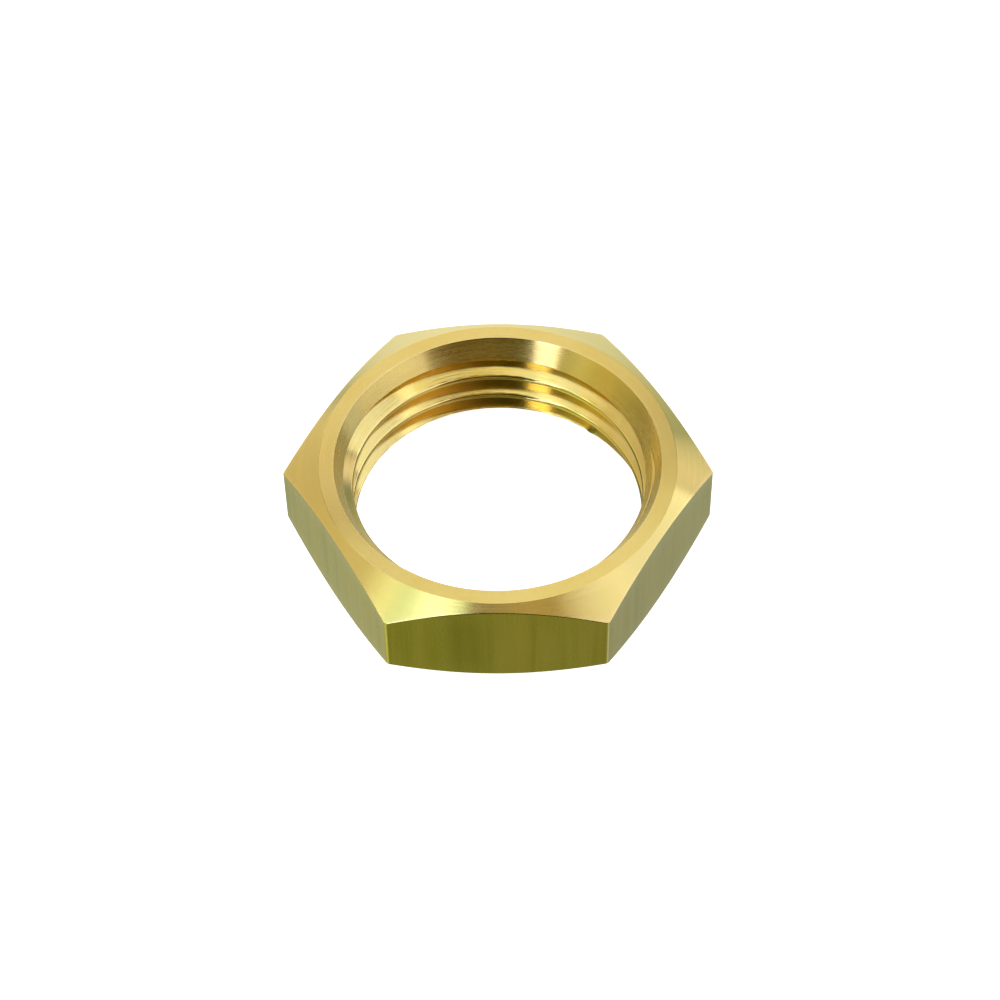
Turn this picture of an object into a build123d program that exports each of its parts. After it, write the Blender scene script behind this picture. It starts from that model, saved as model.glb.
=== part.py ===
from build123d import *
import math
import os

# Hexagonal brass back nut for a half inch parallel pipe thread (G 1/2),
# turned, chamfered, countersunk and tapped from drawn hexagon bar.
# One piece of metal, so one solid.
#
# Frame: millimetres, +Z along the thread axis, origin at the centre of the
# lower face. One flat faces -Y, and two corners of the hexagon lie on X.

# --- driving dimensions -------------------------------------------------
ACROSS_FLATS = 24.0       # spanner size of the hexagon bar
THICKNESS = 7.0           # face to face
CORNER_RADIUS = 0.3       # rounded long corners of the drawn bar

FACE_D = 22.9             # flat ring face, inside the chamfer, both ends
CHAMFER_ANGLE = 30.0      # crown chamfer, measured from the face, both ends

THREAD_MAJOR_D = 20.955   # G 1/2 parallel pipe thread, 14 threads per inch
THREAD_MINOR_D = 18.631   # tapping bore: the crests of the internal thread
COUNTERSINK_D = 20.96     # mouth of the countersinks, just over the major size
UPPER_SINK_ANGLE = 60.0   # included angle, steep lead-in at the upper end
LOWER_SINK_ANGLE = 90.0   # included angle, at the lower end

# --- derived ------------------------------------------------------------
face_r = FACE_D / 2
bore_r = THREAD_MINOR_D / 2
mouth_r = COUNTERSINK_D / 2
upper_sink = (mouth_r - bore_r) / math.tan(math.radians(UPPER_SINK_ANGLE / 2))
lower_sink = (mouth_r - bore_r) / math.tan(math.radians(LOWER_SINK_ANGLE / 2))
turn_r = ACROSS_FLATS / math.sqrt(3) + 1.0          # clear of the corners
drop = (turn_r - face_r) * math.tan(math.radians(CHAMFER_ANGLE))

# --- turned section: ring face, crown chamfers, countersinks and bore -----
section = Polyline(
    (bore_r, 0, lower_sink),
    (bore_r, 0, THICKNESS - upper_sink),
    (mouth_r, 0, THICKNESS),
    (face_r, 0, THICKNESS),
    (turn_r, 0, THICKNESS - drop),
    (turn_r, 0, drop),
    (face_r, 0, 0),
    (mouth_r, 0, 0),
    close=True,
)
turned = revolve(make_face(section), axis=Axis.Z, revolution_arc=360)

# --- hexagon bar with its rounded corners ---------------------------------
outline = RegularPolygon(radius=ACROSS_FLATS / 2, side_count=6, major_radius=False)
outline = fillet(outline.vertices(), radius=CORNER_RADIUS)
bar = extrude(outline, amount=THICKNESS)

# --- the nut: what the turning leaves of the bar ---------------------------
fixing_nut = (bar & turned).solid()
fixing_nut.label = "fixing_nut"

os.makedirs("parts", exist_ok=True)
export_step(fixing_nut, "parts/fixing_nut.step")

size = fixing_nut.bounding_box().size
print("box mm", round(size.X, 3), round(size.Y, 3), round(size.Z, 3))
print("volume mm3", round(fixing_nut.volume, 2), "valid", fixing_nut.is_valid)
print("countersink depths", round(upper_sink, 4), round(lower_sink, 4), "plain bore length", round(THICKNESS - upper_sink - lower_sink, 4))
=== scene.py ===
import bpy
import math
import numpy as np
from mathutils import Matrix, Vector


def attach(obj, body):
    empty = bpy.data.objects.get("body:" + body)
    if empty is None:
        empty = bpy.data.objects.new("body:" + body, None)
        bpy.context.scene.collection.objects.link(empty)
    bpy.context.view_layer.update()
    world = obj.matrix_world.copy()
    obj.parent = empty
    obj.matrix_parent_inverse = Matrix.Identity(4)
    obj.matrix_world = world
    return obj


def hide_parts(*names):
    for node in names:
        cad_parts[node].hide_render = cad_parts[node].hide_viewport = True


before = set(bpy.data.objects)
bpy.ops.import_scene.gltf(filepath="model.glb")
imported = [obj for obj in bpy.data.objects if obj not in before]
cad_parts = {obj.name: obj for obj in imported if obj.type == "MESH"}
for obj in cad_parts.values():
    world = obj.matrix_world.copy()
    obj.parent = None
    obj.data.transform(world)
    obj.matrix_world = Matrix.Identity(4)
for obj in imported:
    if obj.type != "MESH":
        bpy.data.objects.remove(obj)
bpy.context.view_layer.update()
scene = bpy.context.scene

# ---------------------------------------------------------------------------
# Sizes, in millimetres, the same as the solid's
# ---------------------------------------------------------------------------
MM = 0.001
HALF_FLATS = 12.0
THICK = 7.0
CORNER_R = 0.3
FACE_R = 11.45
CHAMFER = math.radians(30.0)
MINOR_R = 18.631 / 2
MAJOR_R = 20.955 / 2
PITCH = 1.814
MOUTH_R = 20.96 / 2
UPPER_SINK = math.radians(30.0)   # countersinks, measured from the axis
LOWER_SINK = math.radians(45.0)

ROUND_WALL = 0.07      # broken edge between a flat and the chamfer
ROUND_FACE = 0.10      # soft line between the chamfer and the ring face
ROUND_MOUTH = 0.05     # mouth of the countersink
ROUND_CREST = 0.1373 * PITCH   # 55 degree pipe thread: rounded crest and root
HALF_ANGLE = math.radians(27.5)
THREAD_TURN = math.radians(-23.5)   # where the helix starts, about Z
UPPER_FADE, LOWER_FADE = (0.45, 0.95), (0.03, 0.33)   # depths below each face where the groove starts and is full


# ---------------------------------------------------------------------------
# The nut: one closed mesh on a polar grid, column by column round the axis
# ---------------------------------------------------------------------------
def column_angles():
    """Angles of the mesh columns: even over each flat, close together round each corner."""
    reach = HALF_FLATS / math.sqrt(3) - CORNER_R * math.tan(math.radians(30))
    edge = math.degrees(math.atan2(reach, HALF_FLATS))
    flat = np.linspace(-edge, edge, 49)
    corner = np.linspace(edge, 60 - edge, 9)[1:-1]
    one = np.concatenate([flat, corner])
    return np.radians(np.concatenate([one + 30 + 60 * k for k in range(6)]))


def outline(phi):
    """Radius of the rounded hexagon at each angle, and the outward normal there."""
    d = np.mod(phi, math.radians(60)) - math.radians(30)
    n_flat = phi - d
    r = HALF_FLATS / np.cos(d)
    normal = n_flat.copy()
    reach = HALF_FLATS / math.sqrt(3) - CORNER_R * math.tan(math.radians(30))
    edge = math.atan2(reach, HALF_FLATS)
    c = (HALF_FLATS - CORNER_R) / math.cos(math.radians(30))
    sign = np.where(d >= 0, 1.0, -1.0)
    eps = math.radians(30) - np.abs(d)
    arc = np.abs(d) > edge + 1e-9
    r_arc = c * np.cos(eps) + np.sqrt(np.maximum(CORNER_R ** 2 - (c * np.sin(eps)) ** 2, 0))
    r = np.where(arc, r_arc, r)
    mid = n_flat + sign * math.radians(30)
    px, py = r * np.cos(phi) - c * np.cos(mid), r * np.sin(phi) - c * np.sin(mid)
    normal = np.where(arc, np.arctan2(py, px), normal)
    return r, normal


def thread_radius(phi, z):
    """Wall radius of the right-hand internal thread: rounded crests, straight flanks, rounded roots."""
    w = np.mod(z - PITCH * (phi - THREAD_TURN) / (2 * math.pi) + PITCH / 2, PITCH) - PITCH / 2
    w = np.abs(w)
    rc = ROUND_CREST
    w1 = rc * math.cos(HALF_ANGLE)
    r1 = MINOR_R + rc - rc * math.sin(HALF_ANGLE)
    crest = MINOR_R + rc - np.sqrt(np.maximum(rc * rc - w * w, 0))
    flank = r1 + (w - w1) / math.tan(HALF_ANGLE)
    v = PITCH / 2 - w
    root = MAJOR_R - rc + np.sqrt(np.maximum(rc * rc - v * v, 0))
    return np.where(w < w1, crest, np.where(v < w1, root, flank))


def smooth_max(a, b, k):
    h = np.maximum(k - np.abs(a - b), 0) / k
    return np.maximum(a, b) + h * h * k * 0.25


def burr(phi, z):
    """The thin edge where the thread leaves the lower countersink: turned inwards, with a small lump where it starts,
    and painted dark as shade along its run and on the lump. Returns how far it stands in, and how strongly the painted
    shade lies there (the same mask also makes it rougher)."""
    deg = np.mod(np.degrees(phi) + 180, 360) - 180
    lip = 0.54 + 0.0034 * deg
    run = np.clip((deg - 12) / 24, 0, 1) * np.clip((53 - deg) / 1.5, 0, 1)
    lump = np.exp(-((deg - 51) / 1.7) ** 2)
    near = np.exp(-((z - lip - 0.12) / 0.15) ** 2)
    wide = np.exp(-((z - lip - 0.10) / 0.20) ** 2)
    # second value: where the burr's edge is painted dark as shade
    return (0.05 * run + 0.11 * lump) * near, np.clip(0.6 * run + 0.8 * lump, 0, 1) * wide


def bore_radius(phi, z):
    """The threaded bore with a countersink at each end; the groove fades out at each mouth."""
    fade = min(np.interp(z, LOWER_FADE, (0, 1)), np.interp(THICK - z, UPPER_FADE, (0, 1)))
    fade = fade * fade * (3 - 2 * fade)
    thread = MINOR_R + (thread_radius(phi, z) - MINOR_R) * fade
    cone = MOUTH_R - min(z * math.tan(LOWER_SINK), (THICK - z) * math.tan(UPPER_SINK))
    return smooth_max(thread, cone, 0.05) - burr(phi, z)[0], thread > cone


def nut_mesh():
    phi = column_angles()
    n = len(phi)
    wall_r, wall_n = outline(phi)
    radial = np.stack([np.cos(phi), np.sin(phi), np.zeros(n)], 1)
    around = np.stack([-np.sin(phi), np.cos(phi), np.zeros(n)], 1)
    flat_n = np.stack([np.cos(wall_n), np.sin(wall_n), np.zeros(n)], 1)
    up = np.array([0.0, 0.0, 1.0])
    rows = []   # (r, z, normal, part of the nut) for the upper half, outside to inside

    def unit(v):
        return v / np.linalg.norm(v, axis=-1, keepdims=True)

    # edge between flat and chamfer
    e = ROUND_WALL
    zc = THICK - (e + (wall_r - e - FACE_R) * math.sin(CHAMFER)) / math.cos(CHAMFER)
    steps = np.linspace(0, 1, 6)
    for s in steps:
        b = s * (math.pi / 2 - CHAMFER)
        lean = unit(flat_n * (1 - s) + radial * s)
        rows.append((wall_r - e + e * math.cos(b), zc + e * math.sin(b), unit(lean * math.cos(b) + up * math.sin(b)), "edge"))
    # chamfer cone
    e2 = ROUND_FACE
    r2 = FACE_R - e2 * (1 - math.cos(CHAMFER)) / math.sin(CHAMFER)
    b0 = math.pi / 2 - CHAMFER
    start_r, start_z = rows[-1][0], rows[-1][1]
    end_r, end_z = r2 + e2 * math.cos(b0), THICK - e2 + e2 * math.sin(b0)
    cone_n = radial * math.sin(CHAMFER) + up * math.cos(CHAMFER)
    for s in np.linspace(0, 1, 8)[1:-1]:
        rows.append((start_r + (end_r - start_r) * s, start_z + (end_z - start_z) * s, cone_n, "chamfer"))
    # chamfer to ring face
    for s in np.linspace(0, 1, 4):
        b = b0 + s * CHAMFER
        rows.append((np.full(n, r2 + e2 * math.cos(b)), np.full(n, THICK - e2 + e2 * math.sin(b)), unit(radial * math.cos(b) + up * math.sin(b)), "chamfer"))

    def inner_rows(sink):
        """Ring face and the rounded mouth of a countersink of this slope."""
        e3 = ROUND_MOUTH
        swing = math.pi / 2 - sink
        r3 = MOUTH_R + e3 * math.tan(swing / 2)
        found = []
        for s in np.linspace(0, 1, 6)[1:-1]:
            found.append((np.full(n, r2 + (r3 - r2) * s), np.full(n, THICK), np.tile(up, (n, 1)), "ring"))
        for s in np.linspace(0, 1, 6):
            b = math.pi / 2 + s * swing
            found.append((np.full(n, r3 + e3 * math.cos(b)), np.full(n, THICK - e3 + e3 * math.sin(b)), unit(radial * math.cos(b) + up * math.sin(b)), "sink"))
        return found

    upper = rows + inner_rows(UPPER_SINK)
    lower = [(r, THICK - z, nn * np.array([1, 1, -1.0]), p) for r, z, nn, p in reversed(rows + inner_rows(LOWER_SINK))]
    loop = []
    # flat, upwards from the lower edge to the upper edge
    z0, z1 = lower[-1][1], upper[0][1]
    for s in np.linspace(0, 1, 5)[1:-1]:
        loop.append((wall_r, z0 + (z1 - z0) * s, flat_n, "flat"))
    loop += upper
    # bore, downwards
    z_top, z_low = float(upper[-1][1][0]), float(lower[0][1][0])
    count = 216
    h = 1e-4
    for z in np.linspace(z_top, z_low, count + 1)[1:-1]:
        r, cut = bore_radius(phi, z)
        dz = (bore_radius(phi, z + h)[0] - bore_radius(phi, z - h)[0]) / (2 * h)
        dp = (bore_radius(phi + h, z)[0] - bore_radius(phi - h, z)[0]) / (2 * h)
        nn = unit(-radial + around * (dp / r)[:, None] + up * dz[:, None])
        loop.append((r, np.full(n, z), nn, cut))
    loop += lower
    m = len(loop)
    co = np.empty((n, m, 3))
    no = np.empty((n, m, 3))
    for i, (r, z, nn, _) in enumerate(loop):
        co[:, i, 0], co[:, i, 1], co[:, i, 2] = r * np.cos(phi), r * np.sin(phi), z
        no[:, i] = nn
    j, i = np.meshgrid(np.arange(n), np.arange(m), indexing="ij")
    j1, i1 = (j + 1) % n, (i + 1) % m
    faces = np.stack([j * m + i, j1 * m + i, j1 * m + i1, j * m + i1], -1).reshape(-1, 4)
    # which finish each face has: 0 drawn flat, 1 turned, 2 cut thread, 3 countersink
    finish = np.ones((n, m), int)
    for k in range(m):
        a, b = loop[k][3], loop[(k + 1) % m][3]
        names = [x for x in (a, b) if isinstance(x, str)]
        if "flat" in names:
            finish[:, k] = 0
        elif not names:
            finish[:, k] = np.where(a & b, 2, 3)
    # chart for baked detail: angle across, path along the section up
    step = np.linalg.norm(np.diff(np.concatenate([co, co[:, :1]], 1), axis=1), axis=2).mean(0)
    path = np.concatenate([[0], np.cumsum(np.maximum(step, 0.02))])
    path = path / path[-1]
    uj = np.concatenate([phi - phi[0], [2 * math.pi]]) / (2 * math.pi)
    uv = np.stack([
        np.stack([uj[j], path[i]], -1), np.stack([uj[j + 1], path[i]], -1),
        np.stack([uj[j + 1], path[i + 1]], -1), np.stack([uj[j], path[i + 1]], -1)], 2).reshape(-1, 2)
    # edges that are rubbed in handling: chamfer edges, long corners, mouths
    worn = {"edge": 1.0, "sink": 0.7}
    wear, burr_shade = np.zeros((n, m)), np.zeros((n, m))
    corner = np.abs(np.mod(phi, math.radians(60)) - math.radians(30)) > math.radians(29.4)
    for k in range(m):
        part = loop[k][3]
        if isinstance(part, str):
            wear[:, k] = worn.get(part, 0.0)
            if part == "flat":
                wear[corner, k] = 1.0
        else:
            # painted shade along the burr's edge at the lower mouth
            burr_shade[:, k] = burr(phi, loop[k][1])[1]
    return co.reshape(-1, 3), no.reshape(-1, 3), faces, finish.reshape(-1), uv, (wear.reshape(-1), burr_shade.reshape(-1))


def build_nut():
    co, no, faces, finish, uv, marks = nut_mesh()
    me = bpy.data.meshes.new("fixing_nut_brass")
    me.vertices.add(len(co))
    me.vertices.foreach_set("co", (co * MM).astype(np.float32).ravel())
    me.loops.add(faces.size)
    me.loops.foreach_set("vertex_index", faces.astype(np.int32).ravel())
    me.polygons.add(len(faces))
    me.polygons.foreach_set("loop_start", np.arange(0, faces.size, 4, dtype=np.int32))
    me.polygons.foreach_set("material_index", finish.astype(np.int32))
    me.update(calc_edges=True)
    me.validate()
    me.polygons.foreach_set("use_smooth", np.ones(len(faces), bool))
    layer = me.uv_layers.new(name="OFBake")
    layer.uv.foreach_set("vector", uv.astype(np.float32).ravel())
    # wear marks rubbed edges; the second attribute carries the painted shade on the burr
    for name, values in zip(("wear", "burr_shade"), marks):
        mark = me.attributes.new(name, "FLOAT", "POINT")
        mark.data.foreach_set("value", values.astype(np.float32))
    me.normals_split_custom_set_from_vertices(no.tolist())
    ob = bpy.data.objects.new("fixing_nut_brass", me)
    scene.collection.objects.link(ob)
    return ob


# ---------------------------------------------------------------------------
# Brass finishes
# ---------------------------------------------------------------------------
class Nodes:
    def __init__(self, name):
        self.mat = bpy.data.materials.new(name)
        self.mat.use_nodes = True
        self.tree = self.mat.node_tree
        self.bsdf = self.tree.nodes["Principled BSDF"]

    def add(self, kind, **values):
        node = self.tree.nodes.new(kind)
        for k, v in values.items():
            setattr(node, k, v)
        return node

    def link(self, a, b):
        self.tree.links.new(a, b)

    def math(self, op, a, b=None, c=None):
        node = self.add("ShaderNodeMath", operation=op)
        for s, v in zip(node.inputs, (a, b, c)):
            if v is None:
                continue
            if isinstance(v, (int, float)):
                s.default_value = v
            else:
                self.link(v, s)
        return node.outputs[0]

    def xyz(self, x, y, z):
        node = self.add("ShaderNodeCombineXYZ")
        for s, v in zip(node.inputs, (x, y, z)):
            if isinstance(v, (int, float)):
                s.default_value = v
            else:
                self.link(v, s)
        return node.outputs[0]

    def noise(self, vector, scale=1.0, detail=3.0, rough=0.5):
        node = self.add("ShaderNodeTexNoise")
        self.link(vector, node.inputs["Vector"])
        node.inputs["Scale"].default_value = scale
        node.inputs["Detail"].default_value = detail
        node.inputs["Roughness"].default_value = rough
        return node.outputs["Fac"]

    def ramp(self, fac, stops):
        node = self.add("ShaderNodeValToRGB")
        el = node.color_ramp.elements
        while len(el) < len(stops):
            el.new(0.5)
        for e, (p, c) in zip(el, stops):
            e.position = p
            e.color = (*c, 1.0)
        self.link(fac, node.inputs[0])
        return node.outputs["Color"]

    def span(self, fac, lo, hi, a=0.25, b=0.75):
        node = self.add("ShaderNodeMapRange")
        self.link(fac, node.inputs[0])
        for s, v in zip(list(node.inputs)[1:5], (a, b, lo, hi)):
            s.default_value = v
        return node.outputs[0]

    def bump(self, height, strength, distance):
        node = self.add("ShaderNodeBump")
        node.inputs["Strength"].default_value = strength
        node.inputs["Distance"].default_value = distance
        self.link(height, node.inputs["Height"])
        return node.outputs["Normal"]

    def place(self):
        """Object coordinates in millimetres: x, y, z, radius and angle."""
        coord = self.add("ShaderNodeTexCoord")
        split = self.add("ShaderNodeSeparateXYZ")
        self.link(coord.outputs["Object"], split.inputs[0])
        x, y, z = (self.math("MULTIPLY", s, 1000.0) for s in split.outputs)
        r = self.math("SQRT", self.math("ADD", self.math("MULTIPLY", x, x), self.math("MULTIPLY", y, y)))
        return x, y, z, r


BRASS = (0.88, 0.69, 0.22)


def tint(light=1.0, red=1.0, blue=1.0):
    return (BRASS[0] * light * red, BRASS[1] * light, BRASS[2] * light * blue)


def shine(n, roughness, wear, polish):
    """Roughness, a little lower where edges have been rubbed bright."""
    n.link(n.math("SUBTRACT", roughness, n.math("MULTIPLY", wear, polish)), n.bsdf.inputs["Roughness"])


def rubbed(n, speckle):
    """How far each spot of an edge is rubbed: the edge mark broken up by a speckle."""
    mark = n.add("ShaderNodeAttribute", attribute_name="wear")
    return n.math("MULTIPLY", mark.outputs["Fac"], n.span(speckle, 0.25, 1.0, 0.35, 0.62))


def blended(n, fac, a, b):
    node = n.add("ShaderNodeMix", data_type="RGBA", blend_type="MIX")
    n.link(fac, node.inputs["Factor"])
    for socket, value in ((node.inputs["A"], a), (node.inputs["B"], b)):
        if isinstance(value, tuple):
            socket.default_value = (*value, 1.0)
        else:
            n.link(value, socket)
    return node.outputs["Result"]


def turned_brass(name, rough_low, rough_high, lengthwise):
    """Faced, chamfered or countersunk on a lathe: fine rings round the axis."""
    n = Nodes(name)
    x, y, z, r = n.place()
    cx, cy = n.math("DIVIDE", x, r), n.math("DIVIDE", y, r)
    rings = n.noise(n.xyz(n.math("MULTIPLY", r, 7.0), n.math("MULTIPLY", cx, 1.2), n.math("MULTIPLY", cy, 1.2)), 1.0, 4.0, 0.62)
    hair = n.noise(n.xyz(n.math("MULTIPLY", r, 24.0), n.math("MULTIPLY", cx, 3.5), n.math("MULTIPLY", cy, 3.5)), 1.0, 2.0, 0.5)
    cloud = n.noise(n.xyz(x, y, z), 0.22, 3.0, 0.55)
    speck = n.noise(n.xyz(x, y, z), 2.6, 3.0, 0.6)
    wear = rubbed(n, speck)
    b = n.bsdf.inputs
    b["Metallic"].default_value = 1.0
    tone = n.ramp(cloud, [(0.30, tint(0.95, 1.02, 0.90)), (0.52, tint(1.0)), (0.72, tint(1.02, 0.98, 1.08))])
    tone = blended(n, n.span(rings, 0.0, 0.35), tone, tint(0.93, 1.02, 0.92))
    tone = blended(n, n.math("MULTIPLY", wear, 0.6), tone, tint(1.06, 1.0, 1.25))
    n.link(tone, b["Base Color"])
    rough = n.math("ADD", n.span(rings, rough_low, rough_high), n.span(cloud, -0.02, 0.03))
    shine(n, rough, wear, 0.06)
    b["Anisotropic"].default_value = lengthwise
    b["Anisotropic Rotation"].default_value = 0.25
    tangent = n.add("ShaderNodeTangent", direction_type="RADIAL", axis="Z")
    n.link(tangent.outputs[0], b["Tangent"])
    height = n.math("ADD", n.math("MULTIPLY", rings, 1.0), n.math("MULTIPLY", hair, 0.30))
    n.link(n.bump(height, 1.0, 0.0000035), b["Normal"])
    return n.mat


def drawn_brass():
    """Flats of the drawn bar: faint streaks along the axis, and handling marks."""
    n = Nodes("brass_drawn")
    x, y, z, r = n.place()
    streak = n.noise(n.xyz(x, y, n.math("MULTIPLY", z, 0.035)), 1.15, 3.0, 0.6)
    fine = n.noise(n.xyz(x, y, n.math("MULTIPLY", z, 0.02)), 6.5, 4.0, 0.65)
    cloud = n.noise(n.xyz(x, y, z), 0.30, 3.0, 0.5)
    speck = n.noise(n.xyz(x, y, z), 3.4, 3.0, 0.6)
    wear = rubbed(n, speck)
    b = n.bsdf.inputs
    b["Metallic"].default_value = 1.0
    tone = n.ramp(streak, [(0.32, tint(0.82, 0.97, 0.85)), (0.50, tint(0.96)), (0.70, tint(1.04, 1.01, 1.10))])
    tone = blended(n, n.span(fine, 0.0, 0.45), tone, tint(0.86, 1.0, 0.88))
    # the bar's skin drifts from greenish to brownish across a flat, with a broad darker streak near the middle of one
    drift = n.noise(n.xyz(x, y, n.math("MULTIPLY", z, 0.05)), 0.16, 1.0, 0.5)
    tone = blended(n, n.span(drift, 0.5, 0.0, 0.36, 0.50), tone, tint(0.95, 0.96, 0.92))
    tone = blended(n, n.span(drift, 0.0, 0.5, 0.52, 0.66), tone, tint(0.95, 1.08, 0.95))
    band = n.math("MULTIPLY", n.math("DIVIDE", n.math("ADD", x, 2.0), 1.5), n.math("DIVIDE", n.math("ADD", x, 2.0), 1.5))
    band = n.math("MULTIPLY", n.math("POWER", 0.37, band), n.math("LESS_THAN", y, -11.0))
    tone = blended(n, n.math("MULTIPLY", band, n.span(fine, 0.55, 0.95)), tone, tint(0.68, 0.95, 0.80))
    tone = blended(n, n.math("MULTIPLY", wear, 0.6), tone, tint(1.06, 1.0, 1.25))
    n.link(tone, b["Base Color"])
    rough = n.math("ADD", n.math("ADD", n.span(fine, 0.24, 0.33), n.span(streak, -0.03, 0.04)), n.span(cloud, -0.02, 0.03))
    shine(n, rough, wear, 0.08)
    b["Anisotropic"].default_value = 0.6
    tangent = n.add("ShaderNodeTangent", direction_type="RADIAL", axis="Z")
    n.link(tangent.outputs[0], b["Tangent"])
    height = n.math("ADD", n.math("MULTIPLY", streak, 2.2), n.math("MULTIPLY", fine, 0.5))
    height = n.math("ADD", height, n.math("MULTIPLY", speck, 0.25))
    n.link(n.bump(height, 1.0, 0.000006), b["Normal"])
    return n.mat


def cut_brass():
    """Thread cut by a tap: bright flanks with faint lines along the helix."""
    n = Nodes("brass_cut")
    x, y, z, r = n.place()
    cx, cy = n.math("DIVIDE", x, r), n.math("DIVIDE", y, r)
    angle = n.math("ARCTAN2", y, x)
    lead = n.math("SUBTRACT", z, n.math("MULTIPLY", angle, PITCH / (2 * math.pi)))
    lines = n.noise(n.xyz(n.math("MULTIPLY", r, 9.0), n.math("MULTIPLY", lead, 9.0), n.math("MULTIPLY", cx, 3.0)), 1.0, 3.0, 0.6)
    cloud = n.noise(n.xyz(x, y, z), 0.8, 3.0, 0.55)
    b = n.bsdf.inputs
    b["Metallic"].default_value = 1.0
    tone = n.ramp(cloud, [(0.32, tint(0.93, 1.03, 0.86)), (0.55, tint(1.0)), (0.75, tint(1.02, 0.99, 1.06))])
    # painted shade: the burr at the lower mouth is darkened almost to black where it sits in shadow, and made rougher
    burr_shade = n.add("ShaderNodeAttribute", attribute_name="burr_shade").outputs["Fac"]
    n.link(blended(n, burr_shade, tone, tint(0.22, 0.95, 0.5)), b["Base Color"])
    rough = n.math("ADD", n.span(lines, 0.10, 0.16), n.span(cloud, -0.01, 0.03))
    n.link(n.math("ADD", rough, n.math("MULTIPLY", burr_shade, 0.2)), b["Roughness"])
    b["Anisotropic"].default_value = 0.5
    b["Anisotropic Rotation"].default_value = 0.25
    tangent = n.add("ShaderNodeTangent", direction_type="RADIAL", axis="Z")
    n.link(tangent.outputs[0], b["Tangent"])
    n.link(n.bump(lines, 1.0, 0.000003), b["Normal"])
    return n.mat


nut = build_nut()
finishes = (drawn_brass(), turned_brass("brass_turned", 0.18, 0.26, 0.85), cut_brass(),
            turned_brass("brass_countersunk", 0.22, 0.30, 1.0))
for m in finishes:
    nut.data.materials.append(m)
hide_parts("fixing_nut")
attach(nut, "root")


# ---------------------------------------------------------------------------
# Floor, light and camera
# ---------------------------------------------------------------------------
def build_floor():
    me = bpy.data.meshes.new("floor")
    s = 1.2
    me.from_pydata([(-s, -s, 0), (s, -s, 0), (s, s, 0), (-s, s, 0)], [], [(0, 1, 2, 3)])
    ob = bpy.data.objects.new("floor", me)
    scene.collection.objects.link(ob)
    mat = bpy.data.materials.new("pale_floor")
    mat.use_nodes = True
    b = mat.node_tree.nodes["Principled BSDF"].inputs
    b["Base Color"].default_value = (0.85, 0.85, 0.85, 1)
    b["Roughness"].default_value = 0.8
    b["Specular IOR Level"].default_value = 0.1
    b["Emission Color"].default_value = (1, 1, 1, 1)
    b["Emission Strength"].default_value = 0.9
    me.materials.append(mat)
    ob.visible_glossy = False
    ob.visible_shadow = False
    return ob


def build_camera():
    dist, el, az, roll = 184.37, math.radians(51.095), math.radians(1.101), math.radians(-0.973)
    back = Vector((math.sin(az) * math.cos(el), -math.cos(az) * math.cos(el), math.sin(el)))
    eye = back * dist + Vector((0, 0, 3.5))
    aim = Vector((0.112, -0.505, 3.5))
    fwd = (aim - eye).normalized()
    right = fwd.cross(Vector((0, 0, 1))).normalized()
    up = right.cross(fwd)
    r2 = right * math.cos(roll) + up * math.sin(roll)
    u2 = up * math.cos(roll) - right * math.sin(roll)
    cam = bpy.data.cameras.new("camera")
    cam.sensor_width = 36.0
    cam.lens = 36.0 * 2843.18 / 1000.0
    cam.clip_start = 0.005
    cam.clip_end = 20.0
    ob = bpy.data.objects.new("camera", cam)
    m = Matrix((r2, u2, -fwd)).transposed().to_4x4()
    m.translation = eye * MM
    ob.matrix_world = m
    scene.collection.objects.link(ob)
    scene.camera = ob


# Soft boxes round the nut: name, azimuth, elevation, roll, width and height for
# each metre of distance, colour. Azimuth 0 is the camera's side, 90 the right.
SOFT_BOXES = [
    ("key", -53, 51, 56, 0.71, 0.35, (1.01, 1.47, 1.46)),
    ("right_panel", 82, 29, -12, 1.36, 1.2, (1.01, 1.05, 1.37)),
    ("right_back", 131, 26, 4, 0.29, 0.34, (0.76, 0.67, 0.87)),
    ("left_panel", -110, 27, 44, 1.77, 0.74, (0.64, 0.57, 0.48)),
    ("top_back", 184, 80, 16, 1.17, 0.9, (1.01, 1.01, 0.97)),
    ("back", 192, 39, 3, 0.67, 0.5, (0.85, 0.77, 0.76)),
    ("left_strip", -30, 12, 10, 0.25, 1.4, (2.5, 2.5, 3.8)),
]
# Wide soft patches of the room: azimuth, elevation, spread in degrees, colour.
ROOM = [
    (-9, -54, 15, (0.157, 0.19, 0.025)),
    (-55, -49, 12, (0.5, 0.65, 0.2)),
    (52, -28, 17, (0.77, 0.55, 0.32)),
    (-75, -10, 22, (0.92, 0.91, 0.42)),
    (-150, -60, 21, (0.47, 0.56, 0.5)),
    (130, -16, 28, (0.64, 0.77, 0.78)),
    (186, 3, 18, (1.1, 1.19, 1.39)),
    (24, 58, 11, (0.53, 0.38, 0.14)),
    (60, -54, 10, (0.25, 0.4, 0.55)),
    (-49, 12, 8, (0.5, 0.45, 0.35)),
    (-46, 62, 6, (0.2, 0.2, 0.9)),
]
BOX_DISTANCE = 0.6


def heading(az, el):
    a, e = math.radians(az), math.radians(el)
    return Vector((math.sin(a) * math.cos(e), -math.cos(a) * math.cos(e), math.sin(e)))


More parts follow.
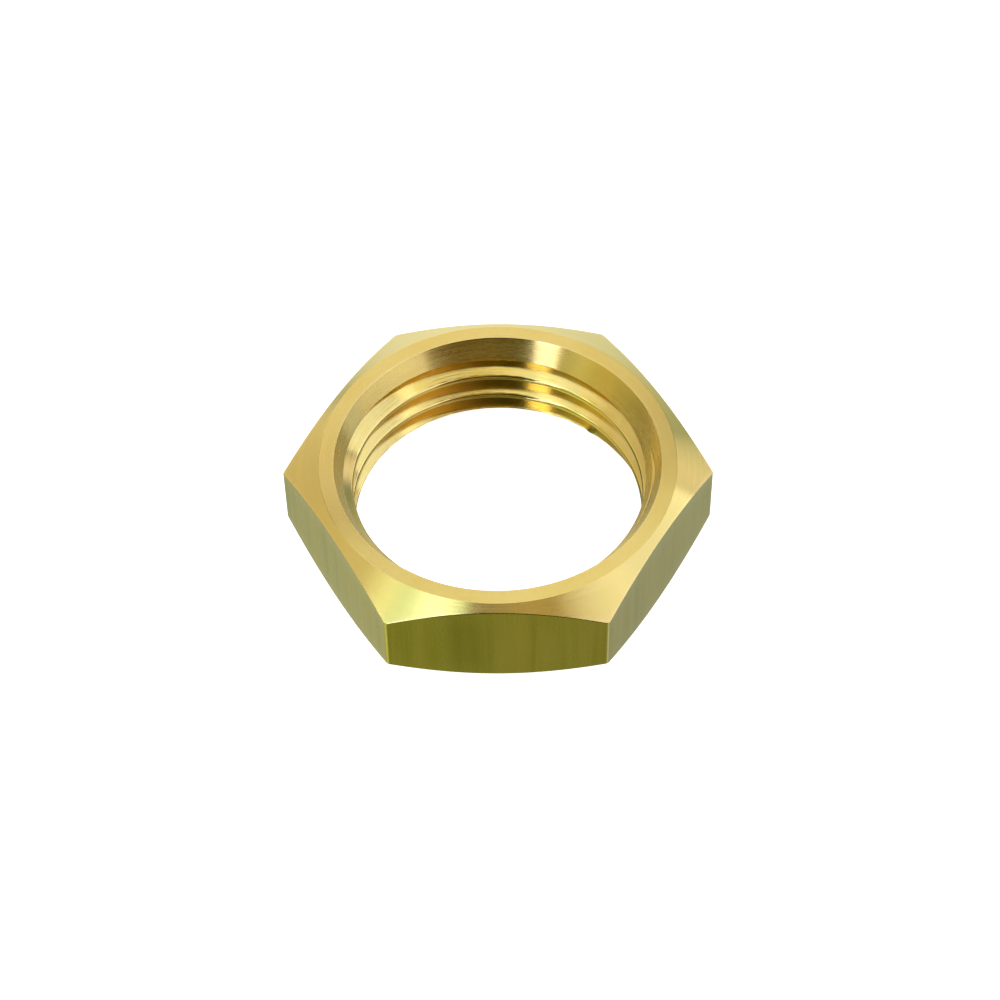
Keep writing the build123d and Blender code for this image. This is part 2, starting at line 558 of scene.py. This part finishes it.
def build_lights():
    for name, az, el, roll, w, h, colour in SOFT_BOXES:
        d = heading(az, el)
        side = Vector((0, 0, 1)).cross(d).normalized()
        up = d.cross(side)
        light = bpy.data.lights.new(name, "AREA")
        light.shape = "RECTANGLE"
        light.size, light.size_y = w * BOX_DISTANCE, h * BOX_DISTANCE
        peak = max(colour)
        light.color = [c / peak for c in colour]
        light.energy = peak * math.pi * light.size * light.size_y
        ob = bpy.data.objects.new(name, light)
        turn = Matrix((side, up, d)).transposed().to_4x4() @ Matrix.Rotation(math.radians(roll), 4, "Z")
        turn.translation = d * BOX_DISTANCE
        ob.matrix_world = turn
        ob.visible_camera = False
        scene.collection.objects.link(ob)


def build_room():
    w = bpy.data.worlds.new("room")
    w.use_nodes = True
    scene.world = w
    tree = w.node_tree
    bg = tree.nodes["Background"]
    coord = tree.nodes.new("ShaderNodeTexCoord")
    unit = tree.nodes.new("ShaderNodeVectorMath")
    unit.operation = "NORMALIZE"
    tree.links.new(coord.outputs["Generated"], unit.inputs[0])
    total = None
    for az, el, spread, colour in ROOM:
        dot = tree.nodes.new("ShaderNodeVectorMath")
        dot.operation = "DOT_PRODUCT"
        tree.links.new(unit.outputs[0], dot.inputs[0])
        dot.inputs[1].default_value = heading(az, el)
        k = 1.0 / math.radians(spread) ** 2
        grow = tree.nodes.new("ShaderNodeMath")
        grow.operation = "MULTIPLY_ADD"
        tree.links.new(dot.outputs["Value"], grow.inputs[0])
        grow.inputs[1].default_value = k
        grow.inputs[2].default_value = -k
        power = tree.nodes.new("ShaderNodeMath")
        power.operation = "EXPONENT"
        tree.links.new(grow.outputs[0], power.inputs[0])
        scale = tree.nodes.new("ShaderNodeVectorMath")
        scale.operation = "SCALE"
        scale.inputs[0].default_value = colour
        tree.links.new(power.outputs[0], scale.inputs["Scale"])
        if total is None:
            total = scale.outputs[0]
        else:
            add = tree.nodes.new("ShaderNodeVectorMath")
            add.operation = "ADD"
            tree.links.new(total, add.inputs[0])
            tree.links.new(scale.outputs[0], add.inputs[1])
            total = add.outputs[0]
    tree.links.new(total, bg.inputs["Color"])
    bg.inputs["Strength"].default_value = 1.0


build_floor()
build_camera()
build_lights()
build_room()
scene.view_settings.view_transform = "Standard"
